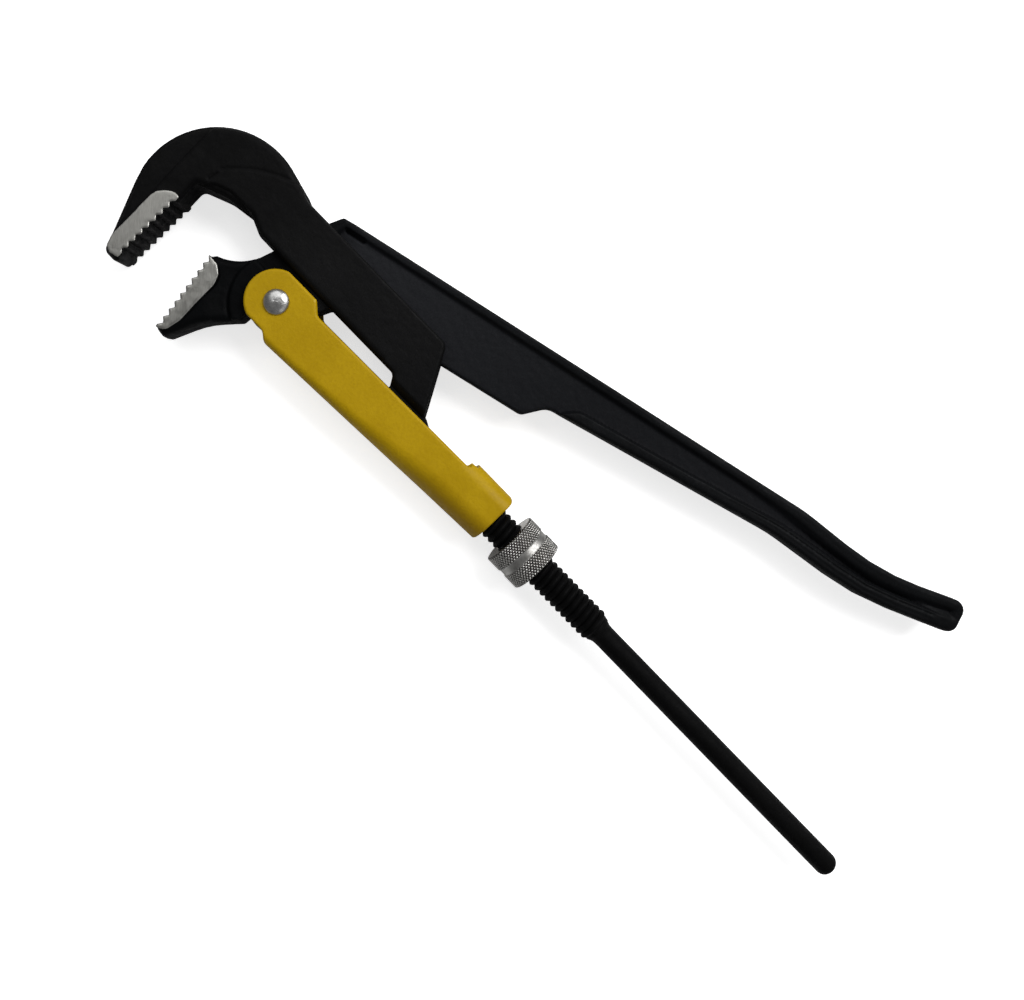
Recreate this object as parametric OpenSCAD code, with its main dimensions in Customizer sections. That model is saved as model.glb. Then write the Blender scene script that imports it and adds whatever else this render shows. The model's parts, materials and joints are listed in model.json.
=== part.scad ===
// Ninety-degree corner pipe wrench with a screw-adjusted lower jaw.
// Millimetres. +X runs along the threaded leg away from the hook, +Y from the leg towards the
// handle, +Z is up from the side the wrench lies on. The origin is in the middle of the jaws'
// mouth, half way through the wrench's thickness, where the axis of a gripped pipe passes.
// The sizes below are measured from the rivet's axis; place() moves every piece to the origin.

/* [Leg and thread] */
// Distance from the rivet's axis to the far end of the leg
leg_end_x = 264.6; // [240:0.2:290]
// Height of the leg's axis above the rivet's axis
leg_y = 0.4; // [0:0.1:0.8]
// Diameter of the plain rod at the end of the leg
rod_d = 7.7; // [6:0.1:9]
// Outside diameter of the thread
thread_d = 11.5; // [11:0.1:11.7]
// Depth of the thread
thread_depth = 1.0; // [0.5:0.1:1.3]
// Pitch of the thread
pitch = 2.5; // [2:0.1:3.2]
// Turns of thread on the leg
thread_turns = 36; // [34:1:40]

/* [Jaws] */
// Thickness of both jaws across their ground faces
jaw_t = 15; // [12.6:0.1:16.5]
// Distance from the rivet's axis to the crests of the hook's teeth
hook_face_x = 46.9; // [46.5:0.1:48]
// Distance from one tooth to the next
tooth_pitch = 3.13; // [2.8:0.01:3.4]
// Depth of the teeth
tooth_depth = 1.4; // [0.8:0.1:1.8]
// Tilt of the lower jaw's teeth from the hook's teeth with the handle at rest, in degrees
lower_tilt = 9; // [8:0.5:10]

/* [Shank] */
// Thickness across the two cheeks of the shank
shank_t = 17; // [15.5:0.1:18]
// Width of the slot between the cheeks
slot_w = 10; // [9.6:0.1:10.6]

/* [Sleeve] */
// Thickness across the outside of the sleeve
sleeve_t = 17.2; // [16.6:0.1:18.4]
// Width of the channel inside the sleeve
channel_w = 12.2; // [12:0.1:12.6]
// Radius of the lugs round the rivet
lug_r = 10.5; // [10.2:0.1:10.8]
// Fall of the sleeve's back from the collar to the lugs, in degrees
back_tilt = 2.55; // [2:0.05:3]

/* [Handle] */
// Thickness of the handle across its flanges
flange_t = 9.4; // [8:0.1:9.4]
// Thickness of the handle's web
web_t = 6; // [4:0.1:7]

/* [Nut and rivet] */
// Outside diameter of the adjusting nut
nut_d = 20; // [18:0.1:20.4]
// Distance from the rivet's axis to the near face of the nut
nut_x = 109.5; // [104:0.5:112]
// Width of each knurled band of the nut
band_w = 5.5; // [4:0.1:6]
// Width of the smooth groove between the bands
groove_w = 2.7; // [2:0.1:3.5]
// Diameter of the rivet's shank
rivet_d = 7; // [6:0.1:7.6]
// Diameter of the rivet's domed heads
rivet_head_d = 8.7; // [8.2:0.1:9.4]
// Height of each domed head above the sleeve
rivet_dome = 1.9; // [1:0.1:2.4]

/* [Hidden] */
$fn = 96;
run_gap = 0.05;                        // radial clearance of every running fit
over = 1;                              // how far a cutter passes beyond the face it opens
far = 40;                              // longer than the wrench is thick
boss_t = channel_w - 0.4;              // thickness that runs between the lugs
boss_r = 10.4;                         // radius of the lower jaw's boss
step_r = 16.8;                         // radius at which the lower jaw steps down to its boss
shank_front = 11;                      // height of the shank's front edge
shank_back = 30.5;                     // height of the shank's back edge
neck_top = 7.4;                        // height at which the shank narrows to enter the sleeve
neck_x = 45.4;                         // near side of the neck
first_gap_y = -2.1;                    // centre of the first gap between the hook's teeth
hook_gaps = 8;                         // gaps between the hook's teeth
lower_gaps = 9;                        // gaps between the lower jaw's teeth
lower_tip = [-26.9, -5.3];             // first tooth of the lower jaw
hook_c = [-35, 5.8];                   // centre of the hook's outer arc
hook_r = 29.2;                         // radius of the hook's outer arc
throat_c = [-31.5, 12.4];               // centre of the hollow in the lower jaw's back
throat_r = 17;                         // radius of that hollow
rivet_at = [36, 16, 0];                // the rivet's axis, seen from the middle of the jaws' mouth
ear_x = 4.5;                           // where the two flat ears end and the round-bottomed channel starts
relief = 0.2;                          // room round the boss where it dips into the round-bottomed channel
thread_x = 61.9;                       // where the thread leaves the neck
thread_end_x = thread_x + pitch * thread_turns;
end_chamfer = 1.8;                     // chamfer on the free end of the leg
collar_x0 = 83.4;                      // start of the closed collar
collar_x1 = 101.3;                     // end of the closed collar
collar_top = 10.5;                     // top of the collar
lug_x = -0.7;                          // centre of the lugs' rounded end
lug_flat = 9.9;                        // half height of the flats on the lugs

// Moves a piece drawn about the rivet's axis to its place about the origin
module place() {
    translate(rivet_at)
        children();
}

// Points along an arc from angle a0 to a1, as sharp corners of an outline
function arc(c, r, a0, a1, n) =
    [for (i = [0:n]) let (a = a0 + (a1 - a0) * i / n) [c[0] + r * cos(a), c[1] + r * sin(a), 0]];

function unit(v) = v / norm(v);

// Arc of radius r that rounds the corner at p between the directions u and v
function fillet(p, u, v, r) =
    let (
        half = acos(max(-1, min(1, u * v))) / 2,
        turn = 180 - 2 * half,
        side = u[0] * v[1] - u[1] * v[0] > 0 ? -1 : 1,
        steps = max(2, ceil(turn / 9))
    )
    r == 0 || turn < 1 ? [p] :
    let (
        c = p + unit(u + v) * r / sin(half),
        s = p + u * r / tan(half) - c
    )
    [for (k = [0:steps]) let (a = side * turn * k / steps)
        c + [s[0] * cos(a) - s[1] * sin(a), s[0] * sin(a) + s[1] * cos(a)]];

// Outline whose corners [x, y, radius] are rounded, each by its own radius
function rounded(pts) = [
    for (i = [0:len(pts) - 1])
        let (
            p = [pts[i][0], pts[i][1]],
            before = pts[(i + len(pts) - 1) % len(pts)],
            after = pts[(i + 1) % len(pts)]
        )
        each fillet(p, unit([before[0], before[1]] - p), unit([after[0], after[1]] - p), pts[i][2])
];

// Plate of thickness t, centred on z = 0, with a rounded outline
module plate(pts, t) {
    translate([0, 0, -t / 2])
        linear_extrude(height = t)
            polygon(rounded(pts));
}

// Bar from x0 to x1 with a rounded cross-section given as [z, y, radius]
module bar_x(section, x0, x1) {
    translate([x0, 0, 0])
        rotate([90, 0, 90])
            linear_extrude(height = x1 - x0)
                polygon(rounded([for (p = section) [p[1], p[0], p[2]]]));
}

// Rod of diameter d1, or a cone from d1 to d2, on the leg's axis from x0 to x1
module rod_x(x0, x1, d1, d2) {
    translate([x0, leg_y, 0])
        rotate([0, 90, 0])
            cylinder(h = x1 - x0, d1 = d1, d2 = d2);
}

// V gaps between teeth: the crests lie on y = 0, the metal below it, and the row runs towards +X
module tooth_gaps(n) {
    for (i = [0:n - 1])
        translate([tooth_pitch * i, 0, 0])
            plate([
                [0, -tooth_depth, 0],
                [tooth_pitch / 2 * (1 + over / tooth_depth), over, 0],
                [-tooth_pitch / 2 * (1 + over / tooth_depth), over, 0]
            ], far);
}

// Side outline of the hook and the shank
function hook_outline() = concat(
    [
        [-hook_face_x, -29, 1.4],
        [-hook_face_x, -1, 0],
        [-47.4, 8, 2.5],
        [-37, 12.2, 12],
        [-26.5, 13.8, 4],
        [-20, shank_front, 5],
        [neck_x - 2.2, shank_front, 2.5],
        [neck_x, neck_top, 0],
        [61.6, neck_top, 0],
        [48.6, shank_back, 3.5],
        [-16.5, shank_back, 8],
        [-20.5, 32.2, 0]
    ],
    arc(hook_c, hook_r, 71, 192, 24),
    [
        [-61.9, -5.4, 20],
        [-54, -24.8, 8],
        [-52.6, -29, 2.6]
    ]
);

// Thread as equal rings with rounded crests, in [radius, distance along the leg]
function thread_profile() = concat(
    [[0, 0]],
    [for (i = [0:thread_turns - 1], k = [0:5])
        [thread_d / 2 - thread_depth * (1 - cos(60 * k)) / 2, pitch * (i + k / 6)]],
    [[thread_d / 2 - thread_depth, pitch * thread_turns], [0, pitch * thread_turns]]
);

// One forging: hook, forked shank, neck, threaded leg and plain rod
module upper_jaw() {
    color([0.09, 0.09, 0.09])
    place()
    difference() {
        union() {
            plate(hook_outline(), jaw_t);
            intersection() {
                plate(hook_outline(), shank_t);
                translate([-16, 0, -far / 2]) cube([100, far, far]);
            }
            // Neck, thin enough to run in the sleeve's channel
            plate([
                [neck_x, neck_top + over, 0],
                [neck_x, leg_y - 1.4, 0],
                [thread_x + 4, leg_y - 1.4, 0],
                [thread_x + 4, 6, 0],
                [61.6, neck_top + over, 0]
            ], boss_t);
            translate([thread_x, leg_y, 0])
                rotate([0, 90, 0])
                    rotate_extrude()
                        polygon(thread_profile());
            rod_x(neck_x + over, thread_x, thread_d - 2 * thread_depth, thread_d - 2 * thread_depth);
            rod_x(thread_end_x - 0.2, thread_end_x + 1.6, thread_d - 2 * thread_depth, rod_d);
            rod_x(thread_x, leg_end_x - end_chamfer, rod_d, rod_d);
            rod_x(leg_end_x - end_chamfer, leg_end_x, rod_d, rod_d - 2 * end_chamfer);
        }
        // Slot for the handle, open at the back and at the far end of the shank
        plate([
            [-35.5, 9, 0],
            [-27.6, 36, 0],
            [-27.6, 45, 0],
            [90, 45, 0],
            [90, 15.5, 0],
            [66, 11.2, 0],
            [43, neck_top - 0.2, 0],
            [42, neck_top - 0.2, 0],
            [42, 9, 0]
        ], slot_w);
        translate([-hook_face_x, first_gap_y, 0])
            rotate([0, 0, -90])
                tooth_gaps(hook_gaps);
    }
}

// Side outline of the lower jaw, up to its boss
function lower_outline() = concat(
    [[lower_tip[0], lower_tip[1], 0]],
    arc(throat_c, throat_r, -70, -22, 12),
    [
        [0, 6, 0],
        [0, -8, 0],
        [-4.7, -8, 0],
        [-4.9, -13.3, 0.8],
        [-12.9, -22.2, 30],
        [-18.4, -35.2, 1.4],
        [lower_tip[0] + 29.8 * sin(lower_tilt), lower_tip[1] - 29.8 * cos(lower_tilt), 0.8]
    ]
);

// Side outline of the tongue and the handle
handle_outline = [
    [-12, 0, 0],
    [-16, 5, 0],
    [-15.2, 7.5, 0],
    [-7.6, 31, 10],
    [-5.6, 35.6, 1.4],
    [-1, 36.9, 3],
    [172, 77.8, 60],
    [203.8, 81.7, 90],
    [231.6, 95.1, 3.8],
    [235.4, 84.1, 3.6],
    [204.3, 70.1, 90],
    [170, 64.4, 60],
    [87.4, 40, 6],
    [82.6, 32, 3],
    [50, 23.9, 30],
    [13.2, 11, 2.4],
    [9.8, 3.4, 0]
];

// Outline of the recess on each side of the handle that leaves the web and its flanges
web_recess = [
    [-3.4, 34.2, 1.5],
    [171, 74.6, 60],
    [203, 77.8, 90],
    [229.8, 91.4, 0.8],
    [231.2, 88, 0.8],
    [205, 75, 80],
    [171, 68.6, 20],
    [150, 62.2, 20],
    [95.5, 46.2, 4],
    [89, 38, 0],
    [89, 20, 0],
    [46, 14, 0],
    [14, 20, 6],
    [-4.2, 30, 1.5]
];

// One forging: lower jaw, boss, tongue and handle
module lower_jaw() {
    color([0.10, 0.11, 0.12])
    place()
    difference() {
        union() {
            difference() {
                plate(lower_outline(), jaw_t);
                cylinder(h = far, r = step_r, center = true);
            }
            intersection() {
                plate(lower_outline(), boss_t);
                translate([-far, -far, -far / 2]) cube([far, far + 5, far]);
            }
            cylinder(h = boss_t, r = boss_r, center = true);
            difference() {
                plate(handle_outline, flange_t);
                for (side = [-1, 1])
                    translate([0, 0, side * (web_t + far) / 2])
                        plate(web_recess, far);
            }
        }
        cylinder(h = far, d = rivet_d + 2 * run_gap, center = true);
        translate([lower_tip[0], lower_tip[1], 0])
            rotate([0, 0, lower_tilt - 90])
                mirror([0, 1, 0])
                    translate([tooth_pitch / 2, 0, 0])
                        tooth_gaps(lower_gaps);
    }
}

// Side outline of the sleeve
sleeve_outline = concat(
    arc([lug_x, 0], lug_r, 109.5, 250.5, 24),
    [
        [3.6, -lug_flat, 3],
        [6.8, -13.2, 2],
        [collar_x1, -8.9, 1.8],
        [collar_x1, collar_top, 2.4],
        [collar_x0, collar_top, 1],
        [collar_x0 - 0.6, 7.3, 0.6],
        [12.6, 6.4, 2],
        [8.6, lug_flat, 1]
    ]
);

// Solid of a channel's section with a round bottom, w wide and open above, from x0 to x1,
// turned with the sleeve's back, which falls from the collar to the lugs
module channel(w, x0, x1) {
    translate([collar_x1, leg_y, 0])
        rotate([0, 0, back_tilt])
            translate([x0 - collar_x1, 0, 0])
                union() {
                    rotate([0, 90, 0]) cylinder(h = x1 - x0, d = w);
                    translate([0, 0, -w / 2]) cube([x1 - x0, far, w]);
                }
}

// Pressed channel: two lugs at the rivet, open above, closed round the leg at the collar
module sleeve() {
    half = sleeve_t / 2;
    color([0.80, 0.62, 0.07])
    place()
    difference() {
        intersection() {
            plate(sleeve_outline, sleeve_t);
            union() {
                channel(sleeve_t, ear_x - over, collar_x1 + far);
                translate([-far, -far, -far / 2]) cube([far + ear_x, 2 * far, far]);
            }
            union() {
                bar_x([[-half, -far, 0], [half, -far, 0], [half, collar_top, 5.5], [-half, collar_top, 5.5]],
                      collar_x0 - 3, collar_x1 + over);
                translate([-far, -far, -far / 2]) cube([far + collar_x0 - 2, 2 * far, far]);
            }
        }
        union() {
            channel(channel_w, ear_x - over, collar_x0 + 1.5);
            translate([-far, -far, -channel_w / 2 - run_gap])
                cube([far + ear_x, 2 * far, channel_w + 2 * run_gap]);
            cylinder(h = channel_w + 2 * run_gap, r = boss_r + relief, center = true);
        }
        rod_x(collar_x0 - far, collar_x1 + far, thread_d + 2 * run_gap, thread_d + 2 * run_gap);
        cylinder(h = far, d = rivet_d + 2 * run_gap, center = true);
    }
}

// Profile of the nut in [radius, distance from its near face]
function nut_profile() =
    let (
        r = nut_d / 2,
        bore = thread_d / 2 + run_gap,
        chamfer = 0.35,
        dip = 0.4,
        w = 2 * band_w + groove_w
    )
    [
        [bore, 0], [r - chamfer, 0], [r, chamfer],
        [r, band_w], [r - dip, band_w + dip / 3], [r - dip, band_w + groove_w - dip / 3], [r, band_w + groove_w],
        [r, w - chamfer], [r - chamfer, w], [bore, w]
    ];

// Round nut with two bands for the fingers and a smooth groove between them
module adjusting_nut() {
    color([0.62, 0.62, 0.60])
    place()
    translate([nut_x, leg_y, 0])
        rotate([90, 0, 90])
            rotate_extrude()
                polygon(nut_profile());
}

// Pivot rivet, closed over both lugs by domed heads
module rivet() {
    head_r = rivet_head_d / 2;
    dome_r = (head_r * head_r + rivet_dome * rivet_dome) / (2 * rivet_dome);
    color([0.75, 0.75, 0.74])
    place()
    union() {
        cylinder(h = sleeve_t, d = rivet_d, center = true);
        for (side = [-1, 1])
            intersection() {
                translate([0, 0, side * (sleeve_t / 2 + rivet_dome - dome_r)])
                    sphere(r = dome_r);
                translate([0, 0, side * (sleeve_t + far) / 2])
                    cylinder(h = far, d = rivet_head_d, center = true);
            }
    }
}

upper_jaw();
lower_jaw();
sleeve();
adjusting_nut();
rivet();
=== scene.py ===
"""Looks of the ninety-degree corner pipe wrench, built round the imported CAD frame.

Shapes are worked out in millimetres about the rivet's axis, as in the CAD source, and turned into
metres in the shared frame when their meshes are made.
"""

import itertools
import json
import math

import bmesh
import bpy
import numpy as np
from mathutils import Matrix, Vector


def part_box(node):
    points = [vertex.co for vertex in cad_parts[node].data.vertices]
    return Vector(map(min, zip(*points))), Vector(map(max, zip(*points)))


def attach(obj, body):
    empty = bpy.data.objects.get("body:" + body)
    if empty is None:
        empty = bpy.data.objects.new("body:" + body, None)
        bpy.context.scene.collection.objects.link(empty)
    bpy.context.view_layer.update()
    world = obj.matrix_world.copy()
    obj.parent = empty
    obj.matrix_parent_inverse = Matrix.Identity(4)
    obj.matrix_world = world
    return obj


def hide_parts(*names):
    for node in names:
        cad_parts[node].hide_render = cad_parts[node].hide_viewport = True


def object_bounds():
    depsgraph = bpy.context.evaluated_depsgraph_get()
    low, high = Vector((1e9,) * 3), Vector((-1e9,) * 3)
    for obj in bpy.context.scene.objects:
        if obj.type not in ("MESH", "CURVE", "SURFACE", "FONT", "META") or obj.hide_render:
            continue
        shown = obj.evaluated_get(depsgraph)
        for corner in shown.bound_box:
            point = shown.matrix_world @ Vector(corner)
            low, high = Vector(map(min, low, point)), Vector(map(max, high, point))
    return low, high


MM = 0.001

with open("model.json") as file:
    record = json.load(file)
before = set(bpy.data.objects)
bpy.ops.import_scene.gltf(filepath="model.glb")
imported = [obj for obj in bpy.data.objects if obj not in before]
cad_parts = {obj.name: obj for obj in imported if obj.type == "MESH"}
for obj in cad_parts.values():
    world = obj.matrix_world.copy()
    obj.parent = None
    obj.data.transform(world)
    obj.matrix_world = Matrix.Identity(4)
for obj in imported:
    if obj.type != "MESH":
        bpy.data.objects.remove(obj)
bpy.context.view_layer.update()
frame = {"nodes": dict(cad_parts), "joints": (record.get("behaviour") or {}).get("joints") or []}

RIVET = next(j for j in frame["joints"] if j["name"] == "handle_pivot")["pos_m"]
RIVET = np.array(RIVET, float) / MM


def cad_box_mm(node):
    """Lowest and highest corner of a CAD node, in millimetres about the rivet's axis."""
    low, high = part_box(node)
    return np.array(low) / MM - RIVET, np.array(high) / MM - RIVET


# ---------------------------------------------------------------- sizes, in millimetres
SHANK_HALF = cad_box_mm("upper_jaw")[1][2]
JAW_HALF = 7.5
SLOT_HALF = 5.0
NECK_HALF = 5.9
BOSS_HALF = 5.9
FLANGE_HALF = 4.7
WEB_HALF = 3.0
SLEEVE_HALF = cad_box_mm("sleeve")[1][2]
CHANNEL_HALF = 6.1
LEG_Y = 0.4
BACK_TILT = math.radians(2.55)
BORE = 5.8
RIVET_R = 3.5
RIVET_HOLE_R = 3.55

TOOTH_PITCH = 3.13
TOOTH_DEPTH = 1.4
HOOK_FACE_X = -46.9
HOOK_FIRST_GAP_Y = -2.1
HOOK_GAPS = 8
LOWER_TIP = (-26.9, -5.3)
LOWER_TILT = math.radians(9)
LOWER_GAPS = 9

THREAD_X = 61.9
THREAD_PITCH = 2.5
THREAD_TURNS = 36
THREAD_TOP = 5.75
THREAD_ROOT = 4.75
ROD_R = 3.85

COLLAR_X0 = 83.4
COLLAR_X1 = 101.3
COLLAR_TOP = 10.5
EAR_X = 4.5
BOSS_ROOM_R = 10.6

NUT_LOW, NUT_HIGH = cad_box_mm("adjusting_nut")
NUT_R = NUT_HIGH[2]
NUT_BAND = 5.5
NUT_GROOVE = 2.7


# ---------------------------------------------------------------- fields
class Grid:
    """Regular points over a box; x, y and z broadcast against each other."""

    def __init__(self, low, high, step):
        self.low = np.array(low, float)
        self.step = step
        axes = [
            np.arange(a, b + step, step, dtype=np.float32) for a, b in zip(low, high)
        ]
        self.x = axes[0][:, None, None]
        self.y = axes[1][None, :, None]
        self.z = axes[2][None, None, :]


def section(node, z):
    """The outline that a CAD node shows on the plane at height z, as segments."""
    mesh = frame["nodes"][node].data
    mesh.calc_loop_triangles()
    points = np.array([v.co for v in mesh.vertices]) / MM - RIVET
    corners = points[np.array([t.vertices for t in mesh.loop_triangles])]
    after = np.roll(corners, -1, axis=1)
    crosses = (corners[..., 2] > z) != (after[..., 2] > z)
    rise = np.where(crosses, after[..., 2] - corners[..., 2], 1)
    hit = corners + ((z - corners[..., 2]) / rise)[..., None] * (after - corners)
    return hit[crosses].reshape(-1, 2, 3)[:, :, :2]


def closed(points):
    """Segments of a closed outline given by its corners."""
    points = np.array(points, float)
    return np.stack([points, np.roll(points, -1, axis=0)], axis=1)


def distance(grid, segments):
    """Distance from an outline, negative inside it, at each (x, y) of the grid."""
    x, y = grid.x, grid.y
    best = np.full((x.size, y.size, 1), np.inf, np.float32)
    inside = np.zeros(best.shape, bool)
    for (ax, ay), (bx, by) in segments.astype(np.float32):
        ex, ey = bx - ax, by - ay
        length = ex * ex + ey * ey
        if length < 1e-10:
            continue
        t = np.clip(((x - ax) * ex + (y - ay) * ey) / length, 0, 1)
        best = np.minimum(best, (x - ax - t * ex) ** 2 + (y - ay - t * ey) ** 2)
        if ay != by:
            inside ^= ((ay > y) != (by > y)) & (x < ax + (y - ay) * ex / ey)
    return np.where(inside, -1, 1) * np.sqrt(best)


def smooth(t):
    """Smooth step from 0 to 1 as t goes from 0 to 1."""
    t = np.clip(t, 0, 1)
    return t * t * (3 - 2 * t)


def rounded_and(a, b, r):
    """What two fields share, with its edges rounded by radius r."""
    a = a + r
    b = b + r
    return (
        np.minimum(np.maximum(a, b), 0)
        + np.hypot(np.maximum(a, 0), np.maximum(b, 0))
        - r
    )


def fillet_or(a, b, r):
    """Two fields joined, with a fillet of about radius r between them."""
    h = np.clip(0.5 + 0.5 * (b - a) / r, 0, 1)
    return b + (a - b) * h - r * h * (1 - h)


def furrow(off, width):
    """Cross-section of a narrow furrow, 1 along its middle, off millimetres away from it."""
    return np.exp(-((off / width) ** 2))


def segment_distance(grid, a, b):
    """Distance from the segment between two points, at each (x, y) of the grid."""
    ex, ey = b[0] - a[0], b[1] - a[1]
    t = ((grid.x - a[0]) * ex + (grid.y - a[1]) * ey) / (ex * ex + ey * ey)
    t = np.clip(t, 0, 1)
    return np.hypot(grid.x - a[0] - t * ex, grid.y - a[1] - t * ey)


def rounded_corners(corners):
    """Outline whose corners (x, y, radius) are rounded by arcs."""
    out = []
    for i, (x, y, r) in enumerate(corners):
        p = np.array([x, y], float)
        u = np.array(corners[i - 1][:2], float) - p
        v = np.array(corners[(i + 1) % len(corners)][:2], float) - p
        u /= np.linalg.norm(u)
        v /= np.linalg.norm(v)
        half = math.acos(max(-1, min(1, u @ v))) / 2
        if r == 0 or math.pi - 2 * half < 0.02:
            out.append(p)
            continue
        centre = p + (u + v) / np.linalg.norm(u + v) * r / math.sin(half)
        start = p + u * r / math.tan(half) - centre
        end = p + v * r / math.tan(half) - centre
        steps = max(2, math.ceil((math.pi - 2 * half) / 0.12))
        for k in range(steps + 1):
            q = start * (steps - k) + end * k
            out.append(centre + q / np.linalg.norm(q) * r)
    return out


def arc(centre, r, a0, a1, n):
    """Sharp corners along an arc, angles in degrees."""
    return [
        (centre[0] + r * math.cos(a), centre[1] + r * math.sin(a), 0)
        for a in np.radians(np.linspace(a0, a1, n + 1))
    ]


# ---------------------------------------------------------------- meshes
def sample(field, p):
    """Field between its grid points, at points p counted in grid steps."""
    base = np.clip(np.floor(p).astype(int), 0, np.array(field.shape) - 2)
    t = p - base
    total = np.zeros(len(p))
    for corner in itertools.product((0, 1), repeat=3):
        weight = np.prod(np.where(corner, t, 1 - t), axis=1)
        i, j, k = (base + corner).T
        total += weight * field[i, j, k]
    return total


def surface(grid, field):
    """Vertices and quads of the surface where a field is zero (naive surface nets)."""
    inside = field < 0
    cells = tuple(n - 1 for n in field.shape)
    count = np.zeros(cells, np.int8)
    corners = list(itertools.product((0, 1), repeat=3))
    for i, j, k in corners:
        count += inside[i : i + cells[0], j : j + cells[1], k : k + cells[2]]
    active = (count > 0) & (count < 8)
    where = np.argwhere(active)
    index = np.full(cells, -1, np.int32)
    index[active] = np.arange(len(where))

    total = np.zeros((len(where), 3))
    hits = np.zeros(len(where))
    for corner in corners:
        for axis in range(3):
            if corner[axis]:
                continue
            other = np.array(corner)
            other[axis] = 1
            fa = field[tuple((where + corner).T)].astype(float)
            fb = field[tuple((where + other).T)].astype(float)
            change = (fa < 0) != (fb < 0)
            t = np.where(change, fa / np.where(change, fa - fb, 1), 0)
            point = np.array(corner, float) + t[:, None] * (other - np.array(corner))
            total += point * change[:, None]
            hits += change
    vertices = where + total / hits[:, None]

    # Slide each vertex along the field's slope onto the surface
    for _ in range(2):
        slope = np.stack(
            [
                sample(field, vertices + 0.5 * e) - sample(field, vertices - 0.5 * e)
                for e in np.eye(3)
            ],
            axis=1,
        )
        size = np.maximum((slope**2).sum(1), 1e-4)
        step = (-sample(field, vertices) / size)[:, None] * slope
        length = np.linalg.norm(step, axis=1, keepdims=True)
        vertices = vertices + step * np.minimum(1, 0.4 / np.maximum(length, 1e-9))

    quads = []
    for axis in range(3):
        a, b = (axis + 1) % 3, (axis + 2) % 3
        near = np.moveaxis(inside, axis, 0)[:-1]
        far = np.moveaxis(inside, axis, 0)[1:]
        edge = np.argwhere(np.moveaxis(near != far, 0, axis))
        edge = edge[(edge[:, a] > 0) & (edge[:, b] > 0)]
        edge = edge[(edge[:, a] < cells[a]) & (edge[:, b] < cells[b])]
        ring = []
        for da, db in ((1, 1), (0, 1), (0, 0), (1, 0)):
            cell = edge.copy()
            cell[:, a] -= da
            cell[:, b] -= db
            ring.append(index[tuple(cell.T)])
        ring = np.stack(ring, axis=1)
        outward = inside[tuple(edge.T)]
        quads.append(np.where(outward[:, None], ring, ring[:, ::-1]))
    return grid.low + vertices * grid.step, np.concatenate(quads)


def mesh_from(name, points, faces):
    """Blender mesh in the shared frame, from points in millimetres about the rivet's axis."""
    faces = np.asarray(faces, np.int32)
    sides = faces.shape[1]
    mesh = bpy.data.meshes.new(name)
    mesh.vertices.add(len(points))
    mesh.vertices.foreach_set("co", ((points + RIVET) * MM).astype(np.float32).ravel())
    mesh.loops.add(faces.size)
    mesh.loops.foreach_set("vertex_index", faces.ravel())
    mesh.polygons.add(len(faces))
    mesh.polygons.foreach_set(
        "loop_start", np.arange(0, faces.size, sides, dtype=np.int32)
    )
    mesh.update(calc_edges=True)
    mesh.validate()
    return mesh


def piece(name, mesh):
    """Object of the scene that shows a mesh, smooth shaded."""
    obj = bpy.data.objects.new(name, mesh)
    bpy.context.scene.collection.objects.link(obj)
    mesh.shade_smooth()
    return obj


def bake_modifiers(obj):
    """Replaces an object's mesh by what its modifiers make of it."""
    graph = bpy.context.evaluated_depsgraph_get()
    mesh = bpy.data.meshes.new_from_object(obj.evaluated_get(graph))
    obj.modifiers.clear()
    obj.data = mesh
    mesh.shade_smooth()


def thin_out(obj, triangles):
    """Reduces a mesh to about a number of triangles, most of them saved where it is flat."""
    mesh = obj.data
    mesh.calc_loop_triangles()
    if len(mesh.loop_triangles) > triangles:
        modifier = obj.modifiers.new("thin", "DECIMATE")
        modifier.ratio = triangles / len(mesh.loop_triangles)
        bake_modifiers(obj)


def join_solid(obj, other):
    """Adds another closed solid to an object's, and removes the other."""
    modifier = obj.modifiers.new("join", "BOOLEAN")
    modifier.operation = "UNION"
    modifier.solver = "MANIFOLD"
    modifier.object = other
    bake_modifiers(obj)
    bpy.data.objects.remove(other)


def tube(name, along, radius, place, closed_rings):
    """Mesh of rings round an axis. along and radius are [ring, step]; place puts
    (along, across, up) into the frame; closed_rings joins the last ring to the first."""
    rings, steps = radius.shape
    angle = 2 * math.pi * np.arange(steps) / steps
    points = place(along, radius * np.cos(angle), radius * np.sin(angle)).reshape(-1, 3)
    ring = np.arange(rings if closed_rings else rings - 1)[:, None]
    step = np.arange(steps)[None, :]
    nxt_ring = (ring + 1) % rings
    nxt_step = (step + 1) % steps
    faces = np.stack(
        [
            ring * steps + step,
            ring * steps + nxt_step,
            nxt_ring * steps + nxt_step,
            nxt_ring * steps + step,
        ],
        axis=-1,
    ).reshape(-1, 4)
    mesh = mesh_from(name, points, faces)
    tidy = bmesh.new()
    tidy.from_mesh(mesh)
    bmesh.ops.remove_doubles(tidy, verts=tidy.verts, dist=1e-6)
    bmesh.ops.recalc_face_normals(tidy, faces=tidy.faces)
    tidy.to_mesh(mesh)
    tidy.free()
    return mesh


def on_leg(along, across, up):
    """Places a tube along the leg's axis."""
    return np.stack([along + 0 * across, LEG_Y + across, up], axis=-1)


# ---------------------------------------------------------------- teeth
def hook_teeth(grid):
    """Field whose inside is behind the hook's toothed face, and everywhere away from it."""
    gap = np.clip(np.round((HOOK_FIRST_GAP_Y - grid.y) / TOOTH_PITCH), 0, HOOK_GAPS - 1)
    off = np.abs(HOOK_FIRST_GAP_Y - grid.y - gap * TOOTH_PITCH) / (TOOTH_PITCH / 2)
    face = HOOK_FACE_X - TOOTH_DEPTH * np.maximum(0, 1 - off)
    lean = 1 / math.hypot(1, TOOTH_DEPTH / (TOOTH_PITCH / 2))
    behind = (grid.x - face) * lean
    return np.where((grid.y < 0.4) & (grid.x < -35), behind, -9)


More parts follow.
